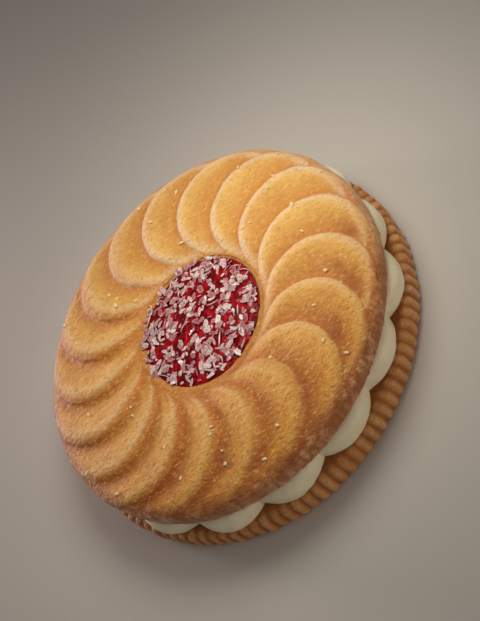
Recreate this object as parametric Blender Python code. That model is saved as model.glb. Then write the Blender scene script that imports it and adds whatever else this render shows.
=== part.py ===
"""Sandwich cookie: a swirl-topped biscuit with a jam centre, a ring of piped cream lobes and a fluted base biscuit.

Metres, +Z up. The origin is the middle of the underside, on the surface that the cookie lies on.
"""

import math
import random

import bmesh
import bpy
from mathutils import Matrix, Vector, noise

MM = 0.001
GAP = 0.3 * MM  # left between two pieces that lie on each other
SMOOTH_BELOW = math.radians(50)  # faces that meet at less than this are shaded as one surface

# Base biscuit
BASE_RADIUS = 30.0 * MM
BASE_THICK = 3.45 * MM
BASE_UNEVEN = 0.15 * MM
RIBS = 104
RIB_DEPTH = 0.42 * MM
RIB_TURN = math.radians(296.5)
SAMPLES_PER_RIB = 3
BASE_WALL = (  # (inset from the full radius, height, share of the rib depth)
    (1.10 * MM, 0.0, 0.0),
    (0.35 * MM, 0.25 * MM, 0.9),
    (0.0, 0.95 * MM, 1.0),
    (0.0, 2.45 * MM, 1.0),
    (0.22 * MM, 3.10 * MM, 0.9),
    (0.80 * MM, BASE_THICK, 0.0),
)

# Cream
CREAM_THICK = 4.0 * MM  # from biscuit to biscuit
CREAM_RADIUS = 29.7 * MM
CREAM_GAP_RADIUS = 27.6 * MM  # where two lobes meet
LOBES = 16
LOBE_TURN = math.radians(10.4)
LOBE_BLUNTNESS = 2.2  # 2 is a round lobe, more is squarer
LOBE_VARIATION = 0.12
SAMPLES_PER_LOBE = 6
CREAM_SIDE = (  # (inset, share of the layer's height)
    (1.0 * MM, 0.0),
    (0.25 * MM, 0.16),
    (0.0, 0.38),
    (0.0, 0.62),
    (0.25 * MM, 0.84),
    (1.0 * MM, 1.0),
)

# Top biscuit
TOP_RADIUS = 29.0 * MM
TOP_UNDER = BASE_THICK + CREAM_THICK
TOP_WALL = (  # (inset, height above the cream)
    (1.2 * MM, 0.0),
    (0.2 * MM, 0.35 * MM),
    (0.0, 1.2 * MM),
    (0.0, 2.2 * MM),
)
TOP_UNEVEN = 0.12 * MM
TOP_OUT_OF_ROUND = 0.005
PETALS = 18
PETAL_RADIUS = 8.93 * MM  # each petal's edge is half of a circle of this radius
PETAL_CENTRE = 19.87 * MM  # from the cookie's middle to the circle's centre
PETAL_TURN = math.radians(8.75)
PETAL_RINGS = 12  # steps along a petal's edge, from the rim to the well
PETAL_STATIONS = (0.0, 0.07, 0.16, 0.32, 0.52, 0.74, 0.93)  # shares of the way round to the next edge
PETAL_STEP = 0.1  # share of that way over which an edge rises
PETAL_FALL = 1.3  # 1 is a straight fall from one edge to the next, more is a rounder back
WELL_MIDDLE = (0.35 * MM, 0.32 * MM)  # the well was pressed a little off the middle
WELL_RADIUS = 10.0 * MM
WELL_LIP = 0.25 * MM
WELL_SHOULDER = 10.6 * MM
WELL_FLOOR = 9.3 * MM
WELL_DRAFT = 0.9 * MM  # how much narrower the well is at its floor
TOP_PROFILE = (  # (distance from the middle, height of the hollows, how far the petals stand above them)
    (10.0 * MM, 11.20 * MM, 0.0),
    (11.0 * MM, 11.50 * MM, 0.10 * MM),
    (12.0 * MM, 11.62 * MM, 0.28 * MM),
    (13.0 * MM, 11.68 * MM, 0.50 * MM),
    (15.0 * MM, 11.72 * MM, 0.85 * MM),
    (17.0 * MM, 11.72 * MM, 1.00 * MM),
    (21.0 * MM, 11.62 * MM, 1.00 * MM),
    (25.0 * MM, 11.28 * MM, 0.90 * MM),
    (27.4 * MM, 10.98 * MM, 0.65 * MM),
    (28.4 * MM, 10.62 * MM, 0.35 * MM),
    (28.8 * MM, 10.25 * MM, 0.15 * MM),
)

# Jam
JAM_RADIUS = WELL_RADIUS - GAP
JAM_EDGE = 11.0 * MM
JAM_CROWN = 1.1 * MM  # how far the middle stands above the edge
JAM_SIDES = 36
JAM_WALL = (  # (inset, height)
    (1.3 * MM, WELL_FLOOR + GAP),
    (0.4 * MM, 10.4 * MM),
    (0.0, JAM_EDGE),
)
JAM_RINGS = (0.75, 0.4)  # shares of the radius

# Coconut
FLAKES = 76
FLAKE_SEED = 11
FLAKE_FIELD = JAM_RADIUS - 1.3 * MM
FLAKE_LENGTH = (1.5 * MM, 2.5 * MM)
FLAKE_HALF_WIDTH = (0.22, 0.34)  # shares of the length
FLAKE_HALF_THICK = 0.24 * MM
FLAKE_LIFT = 0.08 * MM
FLAKE_LEAN = (0.6, 0.4)  # radians, end to end and side to side


def clear_scene():
    for obj in list(bpy.data.objects):
        bpy.data.objects.remove(obj)


def food_material(name, colour, roughness):
    material = bpy.data.materials.new(name)
    material.use_nodes = True
    shader = material.node_tree.nodes["Principled BSDF"]
    shader.inputs["Base Color"].default_value = (*colour, 1.0)
    shader.inputs["Roughness"].default_value = roughness
    shader.inputs["Metallic"].default_value = 0.0
    return material


def at(radius, angle, height):
    return Vector((radius * math.cos(angle), radius * math.sin(angle), height))


def smooth(share):
    share = min(max(share, 0.0), 1.0)
    return share * share * (3.0 - 2.0 * share)


def wander(angle, scale, seed):
    """A slow, closed wave round the cookie, from about -1 to 1."""
    return noise.noise(Vector((math.cos(angle) * scale, math.sin(angle) * scale, seed)))


def from_well(point):
    return point + Vector((*WELL_MIDDLE, 0.0))


def turned_object(name, rings, bottom, top, material):
    """A closed body from rings of points, listed from the underside outwards and up, between two middle points."""
    mesh = bmesh.new()
    loops = [[mesh.verts.new(point) for point in ring] for ring in rings]
    count = len(loops[0])
    for lower, upper in zip(loops, loops[1:]):
        for i in range(count):
            j = (i + 1) % count
            mesh.faces.new((lower[i], lower[j], upper[j], upper[i]))
    first, last = mesh.verts.new(bottom), mesh.verts.new(top)
    for i in range(count):
        j = (i + 1) % count
        mesh.faces.new((loops[0][j], loops[0][i], first))
        mesh.faces.new((loops[-1][i], loops[-1][j], last))
    bmesh.ops.recalc_face_normals(mesh, faces=mesh.faces)
    data = bpy.data.meshes.new(name)
    mesh.to_mesh(data)
    mesh.free()
    data.shade_smooth()
    data.set_sharp_from_angle(angle=SMOOTH_BELOW)
    data.materials.append(material)
    obj = bpy.data.objects.new(name, data)
    bpy.context.collection.objects.link(obj)
    return obj


# Base biscuit: a flat disc whose wall is crimped into upright ribs


def base_biscuit():
    count = RIBS * SAMPLES_PER_RIB
    rings = []
    for inset, height, share in BASE_WALL:
        ring = []
        for i in range(count):
            angle = RIB_TURN + math.tau * i / count
            valley = 1.0 if i % SAMPLES_PER_RIB == 0 else 0.0
            radius = BASE_RADIUS - inset - RIB_DEPTH * share * valley
            ring.append(at(radius + BASE_UNEVEN * wander(angle, scale=1.3, seed=2.0), angle, height))
        rings.append(ring)
    material = food_material("base_crust", (0.42, 0.19, 0.075), 0.75)
    return turned_object("base_biscuit", rings, Vector((0, 0, 0)), Vector((0, 0, BASE_THICK)), material)


# Cream: one layer whose rim is a row of plump piped lobes


def lobe_reach(angle):
    """How far out the cream comes at this angle, from 0 in a gap between lobes to about 1 at a lobe's middle."""
    place = ((angle - LOBE_TURN) / math.tau * LOBES) % LOBES
    lobe, across = math.floor(place), 2.0 * (place % 1.0) - 1.0
    plump = 1.0 + LOBE_VARIATION * wander(math.tau * lobe / LOBES, scale=3.7, seed=0.5)
    return (1.0 - abs(across) ** LOBE_BLUNTNESS) * plump


def cream_layer():
    low, high = BASE_THICK + GAP, TOP_UNDER - GAP
    count = LOBES * SAMPLES_PER_LOBE
    rings = []
    for inset, share in CREAM_SIDE:
        ring = []
        for i in range(count):
            angle = LOBE_TURN + math.tau * i / count
            radius = CREAM_GAP_RADIUS + (CREAM_RADIUS - CREAM_GAP_RADIUS) * lobe_reach(angle)
            ring.append(at(radius - inset, angle, low + (high - low) * share))
        rings.append(ring)
    material = food_material("cream", (0.72, 0.66, 0.50), 0.5)
    return turned_object("cream", rings, Vector((0, 0, low)), Vector((0, 0, high)), material)


# Top biscuit: a domed disc whose petals overlap like a pinwheel round a well


def profile_at(radius):
    """(height of the hollows, how far the petals stand above them) at this distance from the middle."""
    for (r0, z0, a0), (r1, z1, a1) in zip(TOP_PROFILE, TOP_PROFILE[1:]):
        if radius <= r1:
            share = max(0.0, (radius - r0) / (r1 - r0))
            return z0 + (z1 - z0) * share, a0 + (a1 - a0) * share
    return TOP_PROFILE[-1][1:]


def petal_rise(share):
    """Height of a petal from 0 to 1: steep at its own edge, where share is 0, and sinking under the next one."""
    slope = 1.0 - share**PETAL_FALL
    near, far = smooth(share / PETAL_STEP), smooth((share - 1.0 + PETAL_STEP) / PETAL_STEP)
    return slope * (0.5 + 0.5 * near) + 0.5 * far


def petal_ring(radius, turn):
    """One ring over the petals, turned so that its points keep their places on every petal."""
    hollow, rise = profile_at(radius)
    ring = []
    for petal in range(PETALS):
        for share in reversed(PETAL_STATIONS):
            angle = PETAL_TURN + turn + (petal - share) * math.tau / PETALS
            height = hollow + rise * petal_rise(share) + TOP_UNEVEN * wander(angle, scale=1.7, seed=radius / TOP_RADIUS)
            spread = radius + TOP_OUT_OF_ROUND * radius**2 / TOP_RADIUS * wander(angle, scale=1.1, seed=7.0)
            ring.append(at(spread, angle, height))
    return ring


def plain_ring(radius, height):
    return [Vector((point.x, point.y, height)) for point in petal_ring(radius, 0.0)]


def well_ring(radius, height):
    return [from_well(point) for point in plain_ring(radius, height)]


def top_biscuit():
    rings = [plain_ring(TOP_RADIUS - inset, TOP_UNDER + height) for inset, height in TOP_WALL]
    for step in range(PETAL_RINGS + 1):
        along = math.pi * step / PETAL_RINGS
        out = PETAL_CENTRE + PETAL_RADIUS * math.cos(along)
        side = PETAL_RADIUS * math.sin(along)
        rings.append(petal_ring(math.hypot(out, side), math.atan2(side, out)))
    rings.append([from_well(point) for point in petal_ring(WELL_RADIUS + WELL_LIP, 0.0)])
    rings.append(well_ring(WELL_RADIUS, WELL_SHOULDER))
    rings.append(well_ring(WELL_RADIUS - WELL_DRAFT, WELL_FLOOR))
    material = food_material("top_crust", (0.62, 0.33, 0.11), 0.7)
    well_middle = from_well(Vector((0, 0, WELL_FLOOR)))
    return turned_object("top_biscuit", rings, Vector((0, 0, TOP_UNDER)), well_middle, material)


# Jam: a low dome in the well, with flakes of coconut pressed into it


def jam_height(radius):
    return JAM_EDGE + JAM_CROWN * (1.0 - (radius / JAM_RADIUS) ** 2)


def jam_dome(material):
    sides = [(JAM_RADIUS - inset, height) for inset, height in JAM_WALL]
    sides += [(JAM_RADIUS * share, jam_height(JAM_RADIUS * share)) for share in JAM_RINGS]
    rings = []
    for radius, height in sides:
        rings.append([from_well(at(radius, math.tau * i / JAM_SIDES, height)) for i in range(JAM_SIDES)])
    under = from_well(Vector((0, 0, JAM_WALL[0][1])))
    crown = from_well(Vector((0, 0, jam_height(0.0))))
    return turned_object("jam", rings, under, crown, material)


def flake(place, size, turn, material):
    """A flat six-sided scale of coconut, thinner at its rim."""
    mesh = bmesh.new()
    bmesh.ops.create_uvsphere(mesh, u_segments=6, v_segments=3, radius=1.0)
    mesh.transform(Matrix.Translation(place) @ turn @ Matrix.Diagonal((*size, 1.0)))
    data = bpy.data.meshes.new("flake")
    mesh.to_mesh(data)
    mesh.free()
    data.materials.append(material)
    return bpy.data.objects.new("flake", data)


def coconut_flakes(material):
    """Flakes over the dome on a sunflower spiral, so that they lie evenly spread."""
    draw = random.Random(FLAKE_SEED)
    flakes = bpy.data.collections.new("flakes")
    bpy.context.scene.collection.children.link(flakes)
    golden = math.pi * (3.0 - math.sqrt(5.0))
    end_lean, side_lean = FLAKE_LEAN
    for i in range(FLAKES):
        radius = FLAKE_FIELD * math.sqrt((i + 0.5) / FLAKES)
        length = draw.uniform(*FLAKE_LENGTH)
        size = (length / 2.0, length * draw.uniform(*FLAKE_HALF_WIDTH), FLAKE_HALF_THICK)
        lean = Matrix.Rotation(draw.uniform(-end_lean, end_lean), 4, "Y")
        lean @= Matrix.Rotation(draw.uniform(-side_lean, side_lean), 4, "X")
        turn = Matrix.Rotation(draw.uniform(0.0, math.tau), 4, "Z") @ lean
        place = from_well(at(radius, i * golden, jam_height(radius) + FLAKE_LIFT))
        flakes.objects.link(flake(place, size, turn, material))
    return flakes


def jam_with_coconut():
    white = food_material("coconut", (0.75, 0.60, 0.58), 0.4)
    dome = jam_dome(food_material("jam", (0.33, 0.01, 0.015), 0.15))
    dome.data.materials.append(white)
    flakes = coconut_flakes(white)
    union = dome.modifiers.new("flakes", "BOOLEAN")
    union.operation = "UNION"
    union.operand_type = "COLLECTION"
    union.collection = flakes
    union.solver = "EXACT"
    fused = bpy.data.meshes.new_from_object(dome.evaluated_get(bpy.context.evaluated_depsgraph_get()))
    dome.modifiers.clear()
    dome.data = fused
    for obj in list(flakes.objects):
        bpy.data.objects.remove(obj)
    bpy.data.collections.remove(flakes)
    return dome


def main():
    clear_scene()
    base_biscuit()
    cream_layer()
    top_biscuit()
    jam_with_coconut()


main()
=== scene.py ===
"""Looks of a sandwich cookie: base biscuit, piped cream, swirl-petalled top biscuit, jam and coconut.

Metres, +Z up, lying on its base biscuit.
"""

import math
import random

import bmesh
import bpy
import numpy as np
from mathutils import Matrix, Vector, noise


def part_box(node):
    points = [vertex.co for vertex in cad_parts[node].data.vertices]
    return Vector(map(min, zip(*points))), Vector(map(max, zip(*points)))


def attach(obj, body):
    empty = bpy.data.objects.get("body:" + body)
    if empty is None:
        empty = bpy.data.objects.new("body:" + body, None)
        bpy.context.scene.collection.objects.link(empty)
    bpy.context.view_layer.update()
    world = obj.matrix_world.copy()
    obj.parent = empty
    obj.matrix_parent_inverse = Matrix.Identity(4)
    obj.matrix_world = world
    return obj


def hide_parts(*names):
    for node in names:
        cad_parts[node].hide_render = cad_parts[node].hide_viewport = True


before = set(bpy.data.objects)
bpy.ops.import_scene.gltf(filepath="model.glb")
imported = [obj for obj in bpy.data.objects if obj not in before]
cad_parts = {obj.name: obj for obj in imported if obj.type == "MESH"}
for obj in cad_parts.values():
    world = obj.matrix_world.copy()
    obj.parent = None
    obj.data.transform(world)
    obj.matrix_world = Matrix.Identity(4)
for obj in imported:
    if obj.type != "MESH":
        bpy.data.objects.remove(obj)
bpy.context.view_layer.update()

# Camera
# The cookie is seen from in front and above, with the camera rolled on its side as far as the cookie
# leans in the photograph.

camera_place = (0.0, -0.146196, 0.157709)
camera_turn = math.radians(-1.871)
camera_down = math.radians(46.05)  # how far below the level it looks
camera_roll = math.radians(-55.262)
camera = bpy.data.objects.new("camera", bpy.data.cameras.new("camera"))
bpy.context.scene.collection.objects.link(camera)
camera.data.lens = 83.0
camera.data.sensor_width = 36.0
camera.data.clip_start = 0.01
camera.matrix_world = (
    Matrix.Translation(camera_place)
    @ Matrix.Rotation(camera_turn, 4, "Z")
    @ Matrix.Rotation(math.radians(90.0) - camera_down, 4, "X")
    @ Matrix.Rotation(camera_roll, 4, "Z")
)
bpy.context.scene.camera = camera
bpy.context.scene.view_settings.view_transform = "Standard"

# Floor and light
# A pale matt sheet under the cookie, a soft warm lamp close above the upper right of the picture, a weak
# one that fills in from the right, a low pinkish one that catches the edges from the left, and an even glow.

MM = 0.001
picture_right = Vector((camera.matrix_world[0][0], camera.matrix_world[1][0], 0.0)).normalized()
picture_up = Vector((-picture_right.y, picture_right.x, 0.0))  # along the floor, up in the picture
floor_tone = (0.56, 0.52, 0.475, 1.0)
glow_tone = (1.0, 0.95, 0.90, 1.0)
glow_strength = 0.22
bpy.ops.mesh.primitive_circle_add(vertices=96, radius=1.5, fill_type="NGON")
floor = bpy.context.object
floor.name = "floor"
floor.data.materials.append(bpy.data.materials.new("floor"))
floor.active_material.use_nodes = True
floor_shader = floor.active_material.node_tree.nodes["Principled BSDF"]
floor_shader.inputs["Base Color"].default_value = floor_tone
floor_shader.inputs["Roughness"].default_value = 0.8


def soft_lamp(name, up, right, height, size, watts, tone, spread):
    """A round lamp aimed at the cookie: its place in the picture and its size in mm, its beam in degrees."""
    lamp = bpy.data.objects.new(name, bpy.data.lights.new(name, "AREA"))
    bpy.context.scene.collection.objects.link(lamp)
    lamp.data.shape = "DISK"
    lamp.data.size = size * MM
    lamp.data.energy = watts
    lamp.data.color = tone
    lamp.data.spread = math.radians(spread)
    lamp.visible_camera = False
    lamp.location = (up * picture_up + right * picture_right + Vector((0.0, 0.0, height))) * MM
    lamp.rotation_euler = (-lamp.location).to_track_quat("-Z", "Y").to_euler()


near_tone = (1.0, 0.96, 0.84)
fill_tone = (1.0, 0.88, 0.76)
edge_tone = (1.0, 0.80, 0.80)
soft_lamp("near_lamp", up=24, right=17, height=72, size=50, watts=0.018, tone=near_tone, spread=120)
soft_lamp("fill_lamp", up=-70, right=240, height=60, size=120, watts=0.014, tone=fill_tone, spread=60)
soft_lamp("edge_lamp", up=80, right=-220, height=26, size=60, watts=0.040, tone=edge_tone, spread=60)
world = bpy.data.worlds.new("glow")
bpy.context.scene.world = world
world.use_nodes = True
world.node_tree.nodes["Background"].inputs["Color"].default_value = glow_tone
world.node_tree.nodes["Background"].inputs["Strength"].default_value = glow_strength

# Base biscuit
# A flat disc of baked dough, pressed in a mould whose wall crimps fine upright ribs into its rim. The ribs
# end in small round knobs at the upper edge and fade on the upper face.

BASE_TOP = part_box("base_biscuit")[1].z
BASE_RADIUS = 30.0 * MM
RIBS = 104
RIB_TURN = math.radians(296.5)
rib_depth = 0.44 * MM
rib_rise = 0.11 * MM  # how high the ribs stand on the upper face before they fade
rib_unevenness = 0.13
rib_samples = 12
rib_turns = (-85.0, -60.0, 50.0, 80.0)  # degrees up the rounded wall
rib_shares = (0.0, 1.0, 1.0, 0.1)  # how much of their depth the ribs have there
rise_turns = (20.0, 60.0)  # degrees up the wall between which the ribs come to stand on the upper face
knob_turn = 40.0  # degrees up the wall of the knobs' middles
knob_width = 14.0
knob_swell = 0.2
fade_radius = 27.4  # mm from the middle at which the ribs have faded
fade_width = 2.0
base_edge = 0.85 * MM  # how far in from the ribs the rounded edge reaches
base_squareness = 2.8
base_under_radii = (12.0, 22.0)  # mm
base_upper_radii = (28.4, 28.1, 27.7, 27.2, 26.6, 25.8, 24.6, 20.0, 12.0)
base_browns = (0.38, 0.130, 0.028), (0.57, 0.240, 0.060)
# A darker brown painted between the ribs and where they fade out, as shade.
groove_shade_brown = (0.30, 0.095, 0.020)
# A pale gold painted on the ribs' crests and knobs as their highlight.
rib_highlight_gold = (0.74, 0.41, 0.175)
base_grain_brown = (0.35, 0.125, 0.030)
flour_bloom = (1.0, 0.86, 0.80, 1.0)


def wave(points, height, size, seed, octaves=2, stretch=(1.0, 1.0, 1.0), turn=0.0):
    """Soft uneven dough: a value for each point, up to about the height either way, in lumps of the size."""
    cos, sin = math.cos(turn), math.sin(turn)
    x = points[:, 0] * cos + points[:, 1] * sin
    y = points[:, 1] * cos - points[:, 0] * sin
    shifted = np.stack([x, y, points[:, 2]], -1) / (np.asarray(stretch) * size) + seed
    return height * np.array([noise.fractal(Vector(p), 1.0, 2.0, octaves) for p in shifted])


def eased(share):
    """A share clipped to 0 to 1 that starts and ends gently."""
    share = np.clip(share, 0.0, 1.0)
    return share * share * (3.0 - 2.0 * share)


def squared(turn, power):
    """Cosine and sine of a superellipse, whose corners get squarer as the power rises."""
    cos, sin = np.cos(turn), np.sin(turn)
    return np.abs(cos) ** (2.0 / power), np.sign(sin) * np.abs(sin) ** (2.0 / power)


def round_ring(radius, angle, height, middle=(0.0, 0.0)):
    """A ring of points about a middle, at these angles."""
    x, y = middle[0] + radius * np.cos(angle), middle[1] + radius * np.sin(angle)
    return np.stack([x, y, height + 0.0 * angle], axis=-1)


def new_piece(name, points, faces):
    """A smooth-shaded mesh, linked to the scene."""
    mesh = bpy.data.meshes.new(name)
    mesh.from_pydata(points, [], faces)
    mesh.update()
    mesh.shade_smooth()
    piece = bpy.data.objects.new(name, mesh)
    bpy.context.scene.collection.objects.link(piece)
    return piece


def ring_piece(name, rings):
    """A closed piece from rings of points, listed from the underside outwards and up."""
    rings = np.array(rings)
    count, around = rings.shape[:2]
    index = np.arange(count * around).reshape(count, around)
    beside = np.roll(index, -1, axis=1)
    faces = np.stack([index[:-1], beside[:-1], beside[1:], index[1:]], axis=-1).reshape(-1, 4).tolist()
    under, over = count * around, count * around + 1
    faces += [(beside[0, i], index[0, i], under) for i in range(around)]
    faces += [(index[-1, i], beside[-1, i], over) for i in range(around)]
    ends = [rings[0].mean(axis=0), rings[-1].mean(axis=0)]
    return new_piece(name, np.concatenate([rings.reshape(-1, 3), ends]), faces)


def mesh_points(piece):
    """The piece's points, one to a row."""
    points = np.empty(len(piece.data.vertices) * 3, np.float32)
    piece.data.vertices.foreach_get("co", points)
    return points.reshape(-1, 3).astype(float)


def push_out(piece, lift):
    """Moves each point of a piece along its own normal by its own lift."""
    normals = np.empty(len(piece.data.vertices) * 3, np.float32)
    piece.data.vertex_normals.foreach_get("vector", normals)
    points = mesh_points(piece) + normals.reshape(-1, 3) * lift[:, None]
    piece.data.vertices.foreach_set("co", points.astype(np.float32).ravel())
    piece.data.update()


def ring_marks(marks, under=0.0, over=0.0):
    """One row of the marks of all rings, followed by those of the two end points that ring_piece adds."""
    return np.concatenate([*marks, [under, over]])


def mark(piece, name, values):
    """Keeps one number for each point on the mesh, which its material mixes colours by."""
    attribute = piece.data.attributes.new(name, "FLOAT", "POINT")
    attribute.data.foreach_set("value", np.asarray(values, np.float32))


base_around = RIBS * rib_samples
base_angle = RIB_TURN + np.arange(base_around) * math.tau / base_around
rib_number, rib_place = np.divmod(np.arange(base_around), rib_samples)
rib_draw = np.random.default_rng(5)
rib_size = (1.0 + rib_unevenness * rib_draw.standard_normal(RIBS))[rib_number]
rib_shape = (1.0 - np.abs(2.0 * rib_place / rib_samples - 1.0) ** 2.0) * rib_size
rings = [round_ring(radius * MM, base_angle, 0.0) for radius in base_under_radii]
rib_marks = [0.0 * rib_shape for ring in rings]
for turn in np.linspace(-90.0, 90.0, 37):
    out, up = squared(math.radians(turn), base_squareness)
    share = np.interp(turn, rib_turns, rib_shares)
    rise = np.interp(turn, rise_turns, (0.0, 1.0))
    knob = 1.0 + knob_swell * math.exp(-(((turn - knob_turn) / knob_width) ** 2))
    radius = BASE_RADIUS - rib_depth - base_edge * (1.0 - out) + rib_depth * share * knob * rib_shape
    rings.append(round_ring(radius, base_angle, BASE_TOP / 2.0 * (1.0 + up) + rib_rise * rise * rib_shape))
    rib_marks.append(max(share, rise) * rib_shape)
for radius in base_upper_radii:
    fade = eased((radius - fade_radius) / fade_width)
    rings.append(round_ring(radius * MM, base_angle, BASE_TOP + rib_rise * fade * rib_shape))
    rib_marks.append(fade * rib_shape)
base = ring_piece("base_biscuit_crust", rings)
spots = mesh_points(base)
lift = wave(spots, 0.10 * MM, 2.2 * MM, seed=3.0) + wave(spots, 0.05 * MM, 0.7 * MM, seed=8.0)
push_out(base, lift * np.clip(spots[:, 2] / BASE_TOP * 6.0, 0.0, 1.0))
mark(base, "ridge", ring_marks(rib_marks))


def add_node(material, kind, **sockets):
    """A shader node of this kind with these values on its sockets."""
    node = material.node_tree.nodes.new("ShaderNode" + kind)
    for name, value in sockets.items():
        node.inputs[name.replace("_", " ")].default_value = value
    return node


def join(material, source, output, target, socket):
    """Links one node's output to another's socket."""
    material.node_tree.links.new(source.outputs[output], target.inputs[socket])


def lumps(material, size, detail=4.0, roughness=0.55, stretch=(1.0, 1.0, 1.0), turn=0.0):
    """A noise texture whose lumps have the given size, longer along an axis by its stretch."""
    place = add_node(material, "TexCoord")
    mapping = add_node(material, "Mapping")
    mapping.vector_type = "TEXTURE"
    mapping.inputs["Scale"].default_value = stretch
    mapping.inputs["Rotation"].default_value = (0.0, 0.0, turn)
    texture = add_node(material, "TexNoise", Scale=1.0 / size, Detail=detail, Roughness=roughness)
    join(material, place, "Object", mapping, "Vector")
    join(material, mapping, "Vector", texture, "Vector")
    return texture


def marked(material, name):
    """The marks that the mesh keeps under this name."""
    node = add_node(material, "Attribute")
    node.attribute_name = name
    return node


def ranged(material, source, low, high, at_low=0.0, at_high=1.0):
    """Stretches part of the range of a texture or mark to another range."""
    node = material.node_tree.nodes.new("ShaderNodeMapRange")
    for socket, value in (("From Min", low), ("From Max", high), ("To Min", at_low), ("To Max", at_high)):
        node.inputs[socket].default_value = value
    output = source.outputs["Fac"] if "Fac" in source.outputs else source.outputs[0]
    material.node_tree.links.new(output, node.inputs["Value"])
    return node


def mixed(material, first, second, share):
    """A mix of two colours, each a plain one or another mix, by the share that a ranged node gives."""
    node = material.node_tree.nodes.new("ShaderNodeMix")
    node.data_type = "RGBA"
    for socket, colour in (("A", first), ("B", second)):
        target = [s for s in node.inputs if s.name == socket and s.type == "RGBA"][0]
        if isinstance(colour, tuple):
            target.default_value = (*colour, 1.0)
        else:
            output = [s for s in colour.outputs if s.type == "RGBA"][0]
            material.node_tree.links.new(output, target)
    material.node_tree.links.new(share.outputs[0], node.inputs[0])
    return node


def new_finish(name, colour_steps, bumps, **sockets):
    """A food material: colour_steps gives its last mix of colours, bumps are (settings of lumps, depth)."""
    material = bpy.data.materials.new(name)
    material.use_nodes = True
    shader = material.node_tree.nodes["Principled BSDF"]
    for socket, value in sockets.items():
        shader.inputs[socket.replace("_", " ")].default_value = value
    last = colour_steps(material)
    colour_output = [s for s in last.outputs if s.type == "RGBA"][0]
    material.node_tree.links.new(colour_output, shader.inputs["Base Color"])
    below = None
    for settings, depth in bumps:
        bump = add_node(material, "Bump", Distance=depth, Strength=1.0)
        join(material, lumps(material, **settings), "Fac", bump, "Height")
        if below is not None:
            join(material, below, "Normal", bump, "Normal")
        below = bump
    join(material, below, "Normal", shader, "Normal")
    return material


def base_crust_colour(material):
    """Warm brown in uneven patches, with a painted highlight in pale gold where the ribs stand proud and
    painted shade in darker brown between them and where they fade.
    """
    patches = ranged(material, lumps(material, 3.0 * MM), 0.35, 0.65)
    # Painted highlight where the ribs stand proud.
    painted_rib_highlights = ranged(material, marked(material, "ridge"), 0.50, 1.15, at_high=0.8)
    # Painted shade between the ribs and where they have faded.
    painted_groove_shade = ranged(material, marked(material, "ridge"), 0.05, 0.55, at_low=0.65, at_high=0.0)
    grain = ranged(material, lumps(material, 0.35 * MM, 3.0), 0.42, 0.66, at_high=0.45)
    brown = mixed(material, *base_browns, patches)
    groove_shaded = mixed(material, brown, groove_shade_brown, painted_groove_shade)
    rib_highlighted = mixed(material, groove_shaded, rib_highlight_gold, painted_rib_highlights)
    return mixed(material, rib_highlighted, base_grain_brown, grain)


base.data.materials.append(
    new_finish(
        "base_crust_finish",
        base_crust_colour,
        [(dict(size=0.5 * MM), 0.20 * MM), (dict(size=0.18 * MM, detail=2.0), 0.08 * MM)],
        Roughness=0.6,
        Specular_IOR_Level=0.30,
        Sheen_Weight=0.12,
        Sheen_Roughness=0.4,
        Sheen_Tint=flour_bloom,
    )
)
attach(base, "root")
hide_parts("base_biscuit")

# Cream
# Sweet fat filling, piped in a ring of plump lobes and pressed flat between the two biscuits, so that each
# lobe swells out past the top biscuit and sticks to both.

CREAM_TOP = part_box("top_biscuit")[0].z
CREAM_RADIUS = 29.7 * MM
CREAM_GAP = 27.6 * MM  # how far from the middle two lobes meet
LOBES = 16
LOBE_TURN = math.radians(10.4)
lobe_unevenness = 0.09
lobe_samples = 44
lobe_rounding = 0.95 * MM  # how far in a lobe turns where it meets the biscuits
cream_tones = (0.78, 0.68, 0.46), (0.84, 0.76, 0.55)
cream_around = LOBES * lobe_samples
cream_angle = LOBE_TURN + np.arange(cream_around) * math.tau / cream_around
lobe_number, lobe_place = np.divmod(np.arange(cream_around), lobe_samples)
across = np.abs(2.0 * lobe_place / lobe_samples - 1.0)
lobe_draw = np.random.default_rng(12)
lobe_size = (1.0 + lobe_unevenness * lobe_draw.standard_normal(LOBES))[lobe_number]
lobe_reach = (1.0 - across**2.0) * lobe_size
rings = []
for level in np.linspace(-1.0, 1.0, 41):
    inset = lobe_rounding * abs(level) ** 3.4 * (1.0 + 0.9 * across**4)
    radius = CREAM_GAP + (CREAM_RADIUS - CREAM_GAP) * lobe_reach - inset
    rings.append(round_ring(radius, cream_angle, BASE_TOP + (CREAM_TOP - BASE_TOP) * (0.5 + 0.5 * level)))
cream = ring_piece("cream_lobes", rings)
spots = mesh_points(cream)
push_out(cream, wave(spots, 0.10 * MM, 2.6 * MM, seed=1.0) + wave(spots, 0.015 * MM, 0.6 * MM, seed=2.0))


def cream_colour(material):
    """Off-white, a little yellower in slow clouds."""
    clouds = ranged(material, lumps(material, 3.5 * MM), 0.3, 0.7)
    return mixed(material, *cream_tones, clouds)


cream.data.materials.append(
    new_finish(
        "cream_finish",
        cream_colour,
        [(dict(size=0.8 * MM), 0.06 * MM), (dict(size=0.25 * MM, detail=2.0), 0.015 * MM)],
        Roughness=0.42,
        Specular_IOR_Level=0.45,
        Subsurface_Weight=0.25,
        Subsurface_Radius=(1.0, 0.8, 0.45),
        Subsurface_Scale=0.8 * MM,
    )
)
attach(cream, "root")
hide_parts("cream")

# Top biscuit
# A domed disc of softer dough, baked golden in a mould that presses overlapping petals into it, like discs
# fanned out round a well. Each petal's edge is half a circle with a wide round shoulder, and the petal
# sinks slowly until the next edge rises. The petals fade at the well and round off over the rim.

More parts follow.
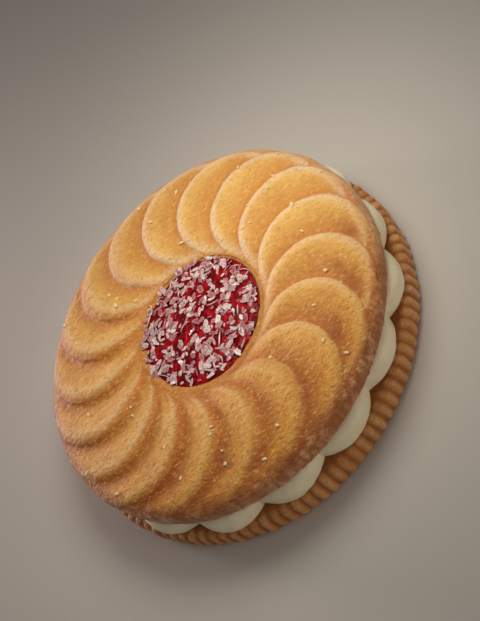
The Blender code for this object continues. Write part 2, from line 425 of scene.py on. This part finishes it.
TOP_UNDER = CREAM_TOP
TOP_RADIUS = 29.04 * MM
PETALS = 18
PETAL_PITCH = math.tau / PETALS
PETAL_RADIUS = 8.93 * MM
PETAL_CENTRE = 19.87 * MM  # how far from the biscuit's middle a petal's own middle lies
PETAL_TURN = math.radians(8.75)
WELL_RADIUS = 10.0 * MM
WELL_MIDDLE = (0.35 * MM, 0.32 * MM)
rim_radius = PETAL_CENTRE + PETAL_RADIUS
wall_top = 9.0 * MM
wall_squareness = 3.0
wall_foot = 1.14 * MM  # how far in the wall turns at its underside
wall_scallop = 0.08 * MM  # width of the waves that the petals' ends give the wall, and the rim above it
rim_scallop = 0.22 * MM
rim_band = 1.2 * MM  # width of the crust along the rim that looks like the wall
top_under_radii = (14.0, 24.0)  # mm
well_wall = ((10.6, 0.05), (10.3, 0.16), (10.1, 0.36), (10.0, 0.65), (9.85, 1.1), (9.1, 2.1))  # (out, down)
dome_height = 11.72  # mm, at a ring this far from the middle, and how it falls in mm for each mm squared
dome_ring = 17.0
dome_fall = 0.00625
rim_drop = 0.55
well_drop = 0.3
petal_rise = 1.16  # mm above the dome
petal_start = 10.5  # mm from the middle, and how much further out the petals are full
petal_growth = 4.2
petal_slope_start = 22.0  # mm from the middle at which the petals start to sink towards the rim
petal_slope_drop = 0.72
shoulder_width = 2.5  # mm in from a petal's edge over which it arches up
shoulder_edge = 0.5  # mm over which the edge itself rises steeply
edge_steepness = 0.18
petal_sink = 0.75  # how much of its height a petal loses slowly, and how much quickly at the end
petal_end_drop = 0.25
petal_foot = 0.25
grain_turn = math.radians(-19.0)  # the way the fibres of the crumb run
lower_right_way = 0.75 * picture_right - 0.66 * picture_up  # towards the lower right, away from the near lamp, where the crust is browner: partly baking colour, partly painted shade
lamp_way = 0.77 * picture_up + 0.64 * picture_right  # towards the near lamp, the side whose crust is painted paler as lit
# Close under the near lamp: the crust is painted palest here, and browner away from it as baking colour and
# as painted fall-off of the lamp's light.
lamp_spot = (20.0 * picture_up + 14.0 * picture_right) * MM
darkening_reach = 50.0 * MM  # how far from there the crust is fully browned, by toast and painted shade
station_spans = ((0.0, 0.22, 11), (0.22, 0.84, 16), (0.84, 1.0, 9))  # closer together where an edge rises
hollow_tones = (0.67, 0.25, 0.040), (0.39, 0.085, 0.009)  # each least and most browned, by toast and painted shade away from the near lamp; the hollows' darker orange is partly painted shade
crest_tones = (0.88, 0.53, 0.140), (0.74, 0.31, 0.042)
# Pale tones painted along the lit petal edges as their highlight, each least and most browned.
edge_highlight_tones = (0.94, 0.73, 0.50), (0.80, 0.46, 0.100)
speck_tones = (0.60, 0.25, 0.050), (0.34, 0.10, 0.016)
wall_tones = (0.36, 0.130, 0.036), (0.76, 0.46, 0.26)
patch_tone = (0.64, 0.26, 0.045)
fibre_tone = (0.88, 0.58, 0.22)
blotch_tone = (0.36, 0.100, 0.020)


def hollow_height(radius):
    """The dome without its petals: nearly level, rounding off at the rim and a little at the well."""
    dome = dome_height - dome_fall * (radius / MM - dome_ring) ** 2
    return (dome - rim_drop * (radius / rim_radius) ** 46 - well_drop * (WELL_RADIUS / radius) ** 12) * MM


def petal_height(radius):
    """How far the petals stand above the dome at this distance from the middle."""
    r = radius / MM
    slope = rim_radius / MM - petal_slope_start
    outer = 1.0 - petal_slope_drop * (np.clip(r - petal_slope_start, 0.0, slope) / slope) ** 3
    return petal_rise * eased((r - petal_start) / petal_growth) * outer * MM


def petal_turn(radius):
    """How far round a petal's edge has come at this distance from the middle."""
    r = np.clip(radius, PETAL_CENTRE - PETAL_RADIUS, rim_radius)
    cosine = (r**2 + PETAL_CENTRE**2 - PETAL_RADIUS**2) / (2.0 * r * PETAL_CENTRE)
    return np.arccos(np.clip(cosine, -1.0, 1.0))


def towards(way, x, y):
    """How far these places lie towards a side of the biscuit, 1 at its wall."""
    return (x * way.x + y * way.y) / TOP_RADIUS


def toasting_and_shade(x, y):
    """How brown the crust is here: it darkens away from the spot under the near lamp, most towards the lower
    right, partly as baking colour and partly as painted shade.
    """
    lower_right = towards(lower_right_way, x, y)
    away = np.hypot(x - lamp_spot.x, y - lamp_spot.y) / darkening_reach
    away += 0.62 * np.maximum(lower_right, 0.0) + 0.08 * np.minimum(lower_right, 0.0)
    return np.clip((away - 0.20) / 0.80, 0.0, 1.3)


def petal_inside(petal, x, y):
    """How far inside the edge of a petal these places lie, in mm."""
    turn = PETAL_TURN + petal * PETAL_PITCH
    out = np.hypot(x - PETAL_CENTRE * np.cos(turn), y - PETAL_CENTRE * np.sin(turn))
    return (PETAL_RADIUS - out) / MM


def top_surface(radius, angle):
    """The petalled top's height at these places, how far its crust takes the crests' gold over the hollows'
    orange, partly as painted light and shade, and how much painted highlight it has along the petals' lit
    edges and crests.
    """
    steps = (angle - PETAL_TURN - petal_turn(radius)) / PETAL_PITCH
    own = np.ceil(steps - 1e-9)
    share = np.clip(own - steps, 0.0, 1.0)
    x, y = radius * np.cos(angle), radius * np.sin(angle)
    inside = petal_inside(own, x, y)
    inside_last = petal_inside(own - 1, x, y)
    arch = 1.0 - (1.0 - np.clip(inside / shoulder_width, 0.0, 1.0)) ** 2
    shoulder = (1.0 - edge_steepness) * arch + edge_steepness * eased(inside / shoulder_edge)
    foot = petal_foot * np.clip(1.0 + inside_last, 0.0, 1.0) ** 2
    sunk = 1.0 - petal_sink * share - petal_end_drop * share**6
    full = sunk * (petal_foot + (1.0 - petal_foot) * shoulder) + foot
    # How far each place lies on the side facing the near lamp: the painted highlight and the crests' painted
    # light follow it.
    lit_side = eased(0.5 + 0.9 * (x * lamp_way.x + y * lamp_way.y) / radius)
    fading = eased((share - 0.60 + 0.40 * lit_side) / (0.35 + 0.35 * lit_side))
    # The crests' gold over the hollows' orange is partly the crust's own colour and partly painted light and
    # shade: it widens away from the near lamp and fades sooner towards it, and is painted out at the foot of
    # the next petal as shade.
    gold_and_shading = eased((inside + 0.15) / (2.8 - 1.8 * lit_side)) * (1.0 - 0.75 * fading)
    gold_and_shading *= 1.0 - eased(1.0 + inside_last)
    # Painted highlight: a pale band along each petal's edge on the side facing the near lamp, and one across
    # the petal a third of the way back on the far side, where its back faces the lamp.
    pale = eased((inside + 0.05) / 0.35) * (1.0 - eased((inside - 0.2) / 1.9)) * lit_side
    pale += 0.75 * eased(1.0 - np.abs(share - 0.32) / 0.20) * (1.0 - lit_side)
    return hollow_height(radius) + petal_height(radius) * full, gold_and_shading, pale


stations = np.concatenate([np.linspace(*span)[:-1] for span in station_spans])
petal_number = np.repeat(np.arange(PETALS), len(stations))
station_share = np.tile(stations[::-1], PETALS)
plain_angle = PETAL_TURN + (petal_number - station_share) * PETAL_PITCH
scallop = 0.5 * np.cos(math.tau * (station_share - 0.30) + 0.5 * np.sin(math.tau * station_share))
wall_gold_and_shading = 0.3 * (0.5 + scallop)
rim_height = top_surface(np.full_like(plain_angle, rim_radius), plain_angle)[0]
rings, gold_and_shading_marks, painted_highlight_marks, wall_marks = [], [], [], []


def add_ring(ring, gold_and_shading, pale, wall):
    """Adds a ring to the top biscuit, with its crests' gold, partly painted light and shade, its painted
    highlight, and how like the wall its crust is.
    """
    everywhere = np.ones_like(plain_angle)
    rings.append(ring)
    gold_and_shading_marks.append(gold_and_shading * everywhere)
    painted_highlight_marks.append(pale * everywhere)
    wall_marks.append(wall * everywhere)


for radius in top_under_radii:
    add_ring(round_ring(radius * MM, plain_angle, TOP_UNDER), gold_and_shading=0.0, pale=0.0, wall=1.0)
for turn in np.linspace(-90.0, 0.0, 12):
    out, up = squared(math.radians(turn), wall_squareness)
    reach = TOP_RADIUS - wall_foot * (1.0 - out) + wall_scallop * scallop * out
    ring = round_ring(reach, plain_angle, wall_top + (wall_top - TOP_UNDER) * up)
    add_ring(ring, wall_gold_and_shading, pale=0.0, wall=1.0)
for share in np.linspace(0.0, 1.0, 10)[1:-1]:
    reach = TOP_RADIUS - (TOP_RADIUS - rim_radius) * share**3.2
    reach = reach + (wall_scallop + (rim_scallop - wall_scallop) * share) * scallop
    ring = round_ring(reach, plain_angle, wall_top + (rim_height - wall_top) * share)
    add_ring(ring, wall_gold_and_shading, pale=0.0, wall=1.0 - 0.25 * share**2)
for edge_turn in np.linspace(0.0, math.pi, 116):
    out = PETAL_CENTRE + PETAL_RADIUS * math.cos(edge_turn)
    side = PETAL_RADIUS * math.sin(edge_turn)
    radius, angle = math.hypot(out, side), plain_angle + math.atan2(side, out)
    height, gold_and_shading, pale = top_surface(np.full_like(angle, radius), angle)
    rim_share = np.clip(1.0 - (rim_radius - radius) / rim_band, 0.0, 1.0)
    gold_and_shading = gold_and_shading * (1.0 - 0.6 * rim_share) * eased((radius / MM - 10.0) / 2.0)
    pale = pale * (1.0 - rim_share) * eased((radius / MM - 10.6) / 1.8)
    ring = round_ring(radius + rim_scallop * scallop * rim_share**2, angle, height)
    add_ring(ring, gold_and_shading, pale, wall=0.75 * rim_share**1.5)
lip_height = hollow_height(10.9 * MM)
for radius, drop in well_wall:
    ring = round_ring(radius * MM, plain_angle, lip_height - drop * MM, WELL_MIDDLE)
    add_ring(ring, gold_and_shading=0.25, pale=0.0, wall=0.0)
top = ring_piece("top_biscuit_crust", rings)
gold_and_shading_mark, painted_highlight_mark = ring_marks(gold_and_shading_marks), ring_marks(painted_highlight_marks)
wall_mark = ring_marks(wall_marks, under=1.0)
spots = mesh_points(top)
crumb_lift = wave(spots, 0.075 * MM, 0.70 * MM, seed=6.0, octaves=3, stretch=(1.5, 0.8, 1.0), turn=grain_turn)
wall_lift = wave(spots, 0.11 * MM, 0.8 * MM, seed=9.0, octaves=3, stretch=(0.8, 0.8, 1.8))
lift = wave(spots, 0.12 * MM, 5.0 * MM, seed=4.0) + (1.0 - wall_mark) * crumb_lift + wall_mark * wall_lift
push_out(top, lift * np.clip((spots[:, 2] - TOP_UNDER) / (0.3 * MM), 0.0, 1.0))
x, y = spots[:, 0], spots[:, 1]
lower_right = towards(lower_right_way, x, y)
# Near the rim on the side facing the near lamp, where the wall is painted paler and less brown as lit.
lamp_side = eased((towards(lamp_way, x, y) - 0.45) / 0.40)
blotches = wave(spots, 0.9, 3.0 * MM, seed=15.0, octaves=3) - 0.6 * gold_and_shading_mark - 0.47
blotches += 0.8 * eased((np.hypot(x, y) / TOP_RADIUS - 0.5) / 0.4)
mark(top, "gold_and_shading", gold_and_shading_mark)
# Painted highlight along the lit petal edges, and on the wall on the side facing the near lamp.
mark(top, "pale", painted_highlight_mark + 0.55 * lamp_side * wall_mark)
# The wall's brown is painted stronger towards the lower right and weaker facing the near lamp: painted shade
# and light over the wall's own brown.
mark(top, "wall", wall_mark * (0.4 + 0.6 * eased(lower_right + 0.6)) * (1.0 - 0.75 * lamp_side))
# Browner away from the near lamp: toast, and painted shade.
mark(top, "toast_and_shade", toasting_and_shade(x, y))
# Dark brown blotches towards the lower right, fewer on the crests and more towards the rim.
mark(top, "dark_blotches", eased(blotches * eased((lower_right - 0.1) / 0.6) / 0.6))


def top_crust_colour(material):
    """Gold along the petals' edges and orange in the hollows, partly the crust's own colour and partly
    painted light and shade, with a painted highlight on the lit edges, brown on the wall, with a fibrous
    grain.
    """
    gold_and_shading = ranged(material, marked(material, "gold_and_shading"), 0.0, 1.0)
    # The painted highlight along the lit petal edges and on the wall facing the near lamp.
    pale = ranged(material, marked(material, "pale"), 0.0, 1.0, at_high=0.75)
    wall = ranged(material, marked(material, "wall"), 0.0, 1.0, at_high=0.8)
    toast_and_shade = ranged(material, marked(material, "toast_and_shade"), 0.0, 1.3)
    dark_blotches = ranged(material, marked(material, "dark_blotches"), 0.0, 1.0, at_high=0.65)
    streaks = ranged(material, lumps(material, 0.9 * MM, 4.0, stretch=(1.0, 1.0, 2.0)), 0.42, 0.64)
    patches = ranged(material, lumps(material, 4.5 * MM, 3.0), 0.42, 0.66, at_high=0.5)
    fibres = dict(detail=3.0, roughness=0.6, stretch=(2.3, 1.0, 1.0), turn=grain_turn)
    dark_fibres = ranged(material, lumps(material, 0.30 * MM, **fibres), 0.50, 0.68, at_high=0.65)
    pale_fibres = ranged(material, lumps(material, 0.36 * MM, **fibres), 0.34, 0.47, at_low=0.5, at_high=0.0)
    # The darker ends of these tones stand partly for painted shade away from the near lamp.
    hollows = mixed(material, *hollow_tones, toast_and_shade)
    crests = mixed(material, *crest_tones, toast_and_shade)
    edges = mixed(material, *edge_highlight_tones, toast_and_shade)
    specks = mixed(material, *speck_tones, toast_and_shade)
    wall_streaked = mixed(material, *wall_tones, streaks)
    # The crests' gold over the hollows' orange: partly the crust's own colour, partly painted light and
    # shade.
    crust = mixed(material, hollows, crests, gold_and_shading)
    crust = mixed(material, crust, patch_tone, patches)
    # The painted highlight over the crust.
    crust = mixed(material, crust, edges, pale)
    crust = mixed(material, crust, fibre_tone, pale_fibres)
    crust = mixed(material, crust, wall_streaked, wall)
    crust = mixed(material, crust, blotch_tone, dark_blotches)
    return mixed(material, crust, specks, dark_fibres)


top.data.materials.append(
    new_finish(
        "top_crust_finish",
        top_crust_colour,
        [
            (dict(size=0.70 * MM, stretch=(1.3, 1.0, 1.0), turn=grain_turn), 0.30 * MM),
            (dict(size=0.26 * MM, detail=3.0, stretch=(1.6, 1.0, 1.0), turn=grain_turn), 0.17 * MM),
        ],
        Roughness=0.62,
        Specular_IOR_Level=0.3,
        Sheen_Weight=0.3,
        Sheen_Roughness=0.4,
        Sheen_Tint=flour_bloom,
    )
)
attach(top, "root")
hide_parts("top_biscuit")

# Jam
# Boiled red fruit jam, poured into the well while soft. It sets as a low glossy dome that clings to the
# well's wall.

JAM_RADIUS = WELL_RADIUS + 0.16 * MM
jam_around = 180
jam_edge = 11.13 * MM  # height at which it meets the biscuit
jam_crown = 0.67 * MM  # how much higher its middle stands
jam_foot = ((8.6, 9.6), (9.5, 10.3), (9.95, 10.7))  # its side in the well, as (mm out, mm high)
jam_tones = (0.12, 0.001, 0.003), (0.46, 0.002, 0.009)


def jam_height(radius):
    """The height of the jam's dome at this distance from the well's middle."""
    return jam_edge + jam_crown * (1.0 - np.clip(radius / JAM_RADIUS, 0.0, 1.0) ** 2.6)


jam_angle = np.arange(jam_around) * math.tau / jam_around
rings = [round_ring(radius * MM, jam_angle, height * MM, WELL_MIDDLE) for radius, height in jam_foot]
for radius in np.linspace(JAM_RADIUS, 0.15 * MM, 62):
    rings.append(round_ring(radius, jam_angle, jam_height(radius), WELL_MIDDLE))
jam = ring_piece("jam_dome", rings)
spots = mesh_points(jam)
jam_out = np.hypot(spots[:, 0] - WELL_MIDDLE[0], spots[:, 1] - WELL_MIDDLE[1])
within = np.clip((JAM_RADIUS - jam_out) / (1.5 * MM), 0.0, 1.0)
lift = wave(spots, 0.20 * MM, 1.3 * MM, seed=21.0) + wave(spots, 0.05 * MM, 0.5 * MM, seed=5.0)
push_out(jam, within * lift)


def jam_colour(material):
    """Deep red, brighter where the jam is thin over its own lumps."""
    clear = ranged(material, lumps(material, 1.2 * MM), 0.40, 0.66)
    return mixed(material, *jam_tones, clear)


jam.data.materials.append(
    new_finish(
        "jam_finish",
        jam_colour,
        [(dict(size=0.8 * MM), 0.20 * MM), (dict(size=0.3 * MM, detail=2.0), 0.05 * MM)],
        Roughness=0.06,
        Specular_IOR_Level=0.15,
    )
)
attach(jam, "root")
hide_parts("jam")

# Coconut
# Desiccated coconut, sprinkled on the jam while it was wet: flat translucent flakes, and a few thin curled
# shreds. They lie every way, thicker along one side of the well, where some reach over its lip.

FLAKES = 430
SHREDS = 60
flake_lengths = (0.65 * MM, 1.60 * MM)  # least and most
flake_widths = (0.36, 0.70)  # as a share of its length
flake_thick = 0.07 * MM
flake_bows = (-0.06 * MM, 0.12 * MM)
flake_raggedness = 0.22
flake_sides = 12
flake_bevel = 0.86
flake_lean = 0.24
shred_lengths = (1.2 * MM, 2.8 * MM)
shred_widths = (0.16 * MM, 0.30 * MM)
shred_thick = 0.14 * MM
shred_curl = 0.4 * MM
shred_bow = 0.3 * MM
shred_steps = 12
shred_lean = 0.15
coconut_lifts = (0.06 * MM, 0.26 * MM)  # how high above the jam their middles lie
lip_lift = 0.30 * MM  # how much higher where they lie over the lip
edge_clear = 0.30 * MM  # jam left bare along the sparse edge
edge_crossing = 1.3 * MM
crowded_way = 0.45 * picture_up - 0.89 * picture_right
cloud_size = 2.6 * MM
cloud_seed = Vector((4.0, 1.0, 9.0))
coconut_draw = random.Random(31)
flesh_tones = (0.96, 0.79, 0.77), (0.38, 0.08, 0.10)  # least and most stained by the jam
vein_tone = (0.40, 0.10, 0.12)
flake_rim_tone = (0.88, 0.70, 0.69)


def coconut_place():
    """A point on the jam or just past its crowded edge, kept if the cloud there is dense, and how far out."""
    while True:
        radius = (JAM_RADIUS + 0.55 * MM) * math.sqrt(coconut_draw.random())
        angle = coconut_draw.uniform(0.0, math.tau)
        place = Vector((radius * math.cos(angle), radius * math.sin(angle), 0.0))
        crowding = 0.5 + 0.5 * place.dot(crowded_way) / JAM_RADIUS
        edge_crowding = crowding * (radius / JAM_RADIUS) ** 4
        cloud = noise.noise(place / cloud_size + cloud_seed)
        if radius > JAM_RADIUS - edge_clear + edge_crossing * max(0.0, crowding - 0.40):
            continue
        if coconut_draw.random() < 0.50 + 0.45 * cloud + 0.7 * edge_crowding:
            return place, radius


def flake_points():
    """A flat flake's points, a rim and a smaller outline above and below it, and how near the rim each is."""
    length = coconut_draw.uniform(*flake_lengths)
    width = length * coconut_draw.uniform(*flake_widths)
    bow = coconut_draw.uniform(*flake_bows)
    outline = []
    for i in range(flake_sides):
        turn = math.tau * i / flake_sides
        out = 1.0 + flake_raggedness * coconut_draw.uniform(-1.0, 1.0)
        outline.append((length / 2.0 * out * math.cos(turn), width / 2.0 * out * math.sin(turn)))
    points = []
    for shrink, rise in ((flake_bevel, -0.5), (1.0, 0.0), (flake_bevel, 0.5)):
        points += [(x * shrink, y * shrink, rise * flake_thick) for x, y in outline]
    points += [(0.0, 0.0, -0.5 * flake_thick), (0.0, 0.0, 0.5 * flake_thick)]
    nearness = [0.7] * flake_sides + [1.0] * flake_sides + [0.7] * flake_sides + [0.0, 0.0]
    return [Vector((x, y, z - bow * (2.0 * x / length) ** 2)) for x, y, z in points], nearness


def shred_points():
    """The points of a thin strip that curls sideways, in rings of four, and how near the rim each is."""
    length = coconut_draw.uniform(*shred_lengths)
    curl = coconut_draw.uniform(-shred_curl, shred_curl)
    bow = coconut_draw.uniform(0.0, shred_bow)
    width = coconut_draw.uniform(*shred_widths)
    thick = shred_thick / 2.0
    points = []
    for i in range(shred_steps):
        t = 2.0 * i / (shred_steps - 1) - 1.0
        x, y, z = length / 2.0 * t, curl * t * t, -bow * t * t
        half = width / 2.0 * (1.0 - 0.75 * abs(t) ** 3)
        points += [(x, y - half, z), (x, y, z - thick), (x, y + half, z), (x, y, z + thick)]
    return [Vector(p) for p in points], [0.9] * len(points)


def flake_faces(start):
    """Faces of a flake whose points start at this number: its bevelled edge, then a fan below and above."""
    faces = []
    for i in range(flake_sides):
        j = (i + 1) % flake_sides
        for level in (start, start + flake_sides):
            faces.append((level + i, level + j, level + flake_sides + j))
            faces.append((level + i, level + flake_sides + j, level + flake_sides + i))
        faces.append((start + j, start + i, start + 3 * flake_sides))
        faces.append((start + 2 * flake_sides + i, start + 2 * flake_sides + j, start + 3 * flake_sides + 1))
    return faces


def shred_faces(start):
    """Faces of a shred whose points start at this number, with its two ends closed."""
    faces = [(start + 3, start + 2, start + 1, start)]
    for i in range(shred_steps - 1):
        for k in range(4):
            a, b = start + 4 * i + k, start + 4 * i + (k + 1) % 4
            faces.append((a, b, b + 4, a + 4))
    end = start + 4 * (shred_steps - 1)
    return faces + [(end, end + 1, end + 2, end + 3)]


points, faces, tints, rims = [], [], [], []
for i in range(FLAKES + SHREDS):
    is_flake = i < FLAKES
    place, radius = coconut_place()
    slope = place * (2.0 * jam_crown / JAM_RADIUS**2)
    facing = Vector((slope.x, slope.y, 1.0)).normalized().to_track_quat("Z", "X").to_matrix().to_4x4()
    lean = flake_lean if is_flake else shred_lean
    turn = Matrix.Rotation(coconut_draw.uniform(0.0, math.tau), 4, "Z")
    turn @= Matrix.Rotation(coconut_draw.gauss(0.0, lean), 4, "Y")
    turn @= Matrix.Rotation(coconut_draw.gauss(0.0, lean), 4, "X")
    lifted = coconut_draw.uniform(*coconut_lifts) + lip_lift * eased((radius / MM - 9.4) / 0.6)
    middle = Vector((place.x + WELL_MIDDLE[0], place.y + WELL_MIDDLE[1], jam_height(radius) + lifted))
    made, nearness = flake_points() if is_flake else shred_points()
    faces += flake_faces(len(points)) if is_flake else shred_faces(len(points))
    points += [Matrix.Translation(middle) @ facing @ turn @ point for point in made]
    tints += [coconut_draw.random()] * len(made)
    rims += nearness
coconut = new_piece("coconut_flakes", points, faces)
coconut.data.set_sharp_from_angle(angle=math.radians(14))
mark(coconut, "tint", tints)
mark(coconut, "rim", rims)


def coconut_colour(material):
    """Greyish pink flesh that lets the jam show through, paler at its rims, some flakes more stained."""
    stain = ranged(material, marked(material, "tint"), 0.1, 0.9)
    rim = ranged(material, marked(material, "rim"), 0.4, 1.0, at_high=0.4)
    fibre = ranged(material, lumps(material, 0.35 * MM), 0.38, 0.66, at_high=0.75)
    flesh = mixed(material, *flesh_tones, stain)
    veined = mixed(material, flesh, vein_tone, fibre)
    return mixed(material, veined, flake_rim_tone, rim)


coconut.data.materials.append(
    new_finish(
        "coconut_finish",
        coconut_colour,
        [(dict(size=0.3 * MM, detail=2.0), 0.03 * MM)],
        Roughness=0.25,
        Specular_IOR_Level=0.5,
        Subsurface_Weight=0.3,
        Subsurface_Radius=(1.0, 0.35, 0.35),
        Subsurface_Scale=0.3 * MM,
    )
)
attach(coconut, "root")
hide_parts("jam")

# Crumbs
# Pale crumbs of the dough that fell on the crust after baking: small angular grains that lie singly, most
# of them towards the rim.

CRUMBS = 40
CRUMB_START = math.radians(95.0)
golden_angle = math.pi * (3.0 - math.sqrt(5.0))  # turns each crumb well away from those before it
crumb_inner = 11.6  # mm from the middle
crumb_band = 16.0
crumb_scatter = 0.25
crumb_sizes = (0.15 * MM, 0.27 * MM)
crumb_tones = (0.78, 0.60, 0.30), (0.90, 0.78, 0.48)
crumb_draw = random.Random(8)
grain = bmesh.new()
bmesh.ops.create_icosphere(grain, subdivisions=2, radius=1.0)
grain_points = [v.co.copy() for v in grain.verts]
grain_faces = [[v.index for v in f.verts] for f in grain.faces]
grain.free()
points, faces = [], []
for number in range(CRUMBS):
    radius = (crumb_inner + crumb_band * math.sqrt(crumb_draw.random())) * MM
    angle = CRUMB_START + number * golden_angle + crumb_draw.gauss(0.0, crumb_scatter)
    height = top_surface(np.array([radius]), np.array([angle]))[0][0]
    size = crumb_draw.uniform(*crumb_sizes)
    shape = Matrix.Diagonal((crumb_draw.uniform(1.0, 2.1), crumb_draw.uniform(0.8, 1.1), 0.8, 1.0))
    spin = Matrix.Rotation(crumb_draw.uniform(0.0, math.tau), 4, "Z")
    place = Matrix.Translation((radius * math.cos(angle), radius * math.sin(angle), height + 0.5 * size))
    faces += [[len(points) + k for k in face] for face in grain_faces]
    for point in grain_points:
        out = 1.0 + 0.5 * noise.noise(point * 1.4 + Vector((number * 3.1, 0.0, 0.0)))
        points.append(place @ spin @ shape @ (point * out * size))
crumbs = new_piece("crumbs", points, faces)


def crumb_colour(material):
    """Pale straw, a little lighter in places."""
    pale = ranged(material, lumps(material, 0.6 * MM), 0.3, 0.7)
    return mixed(material, *crumb_tones, pale)


crumbs.data.materials.append(
    new_finish("crumb_finish", crumb_colour, [(dict(size=0.15 * MM, detail=2.0), 0.04 * MM)], Roughness=0.7)
)
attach(crumbs, "root")
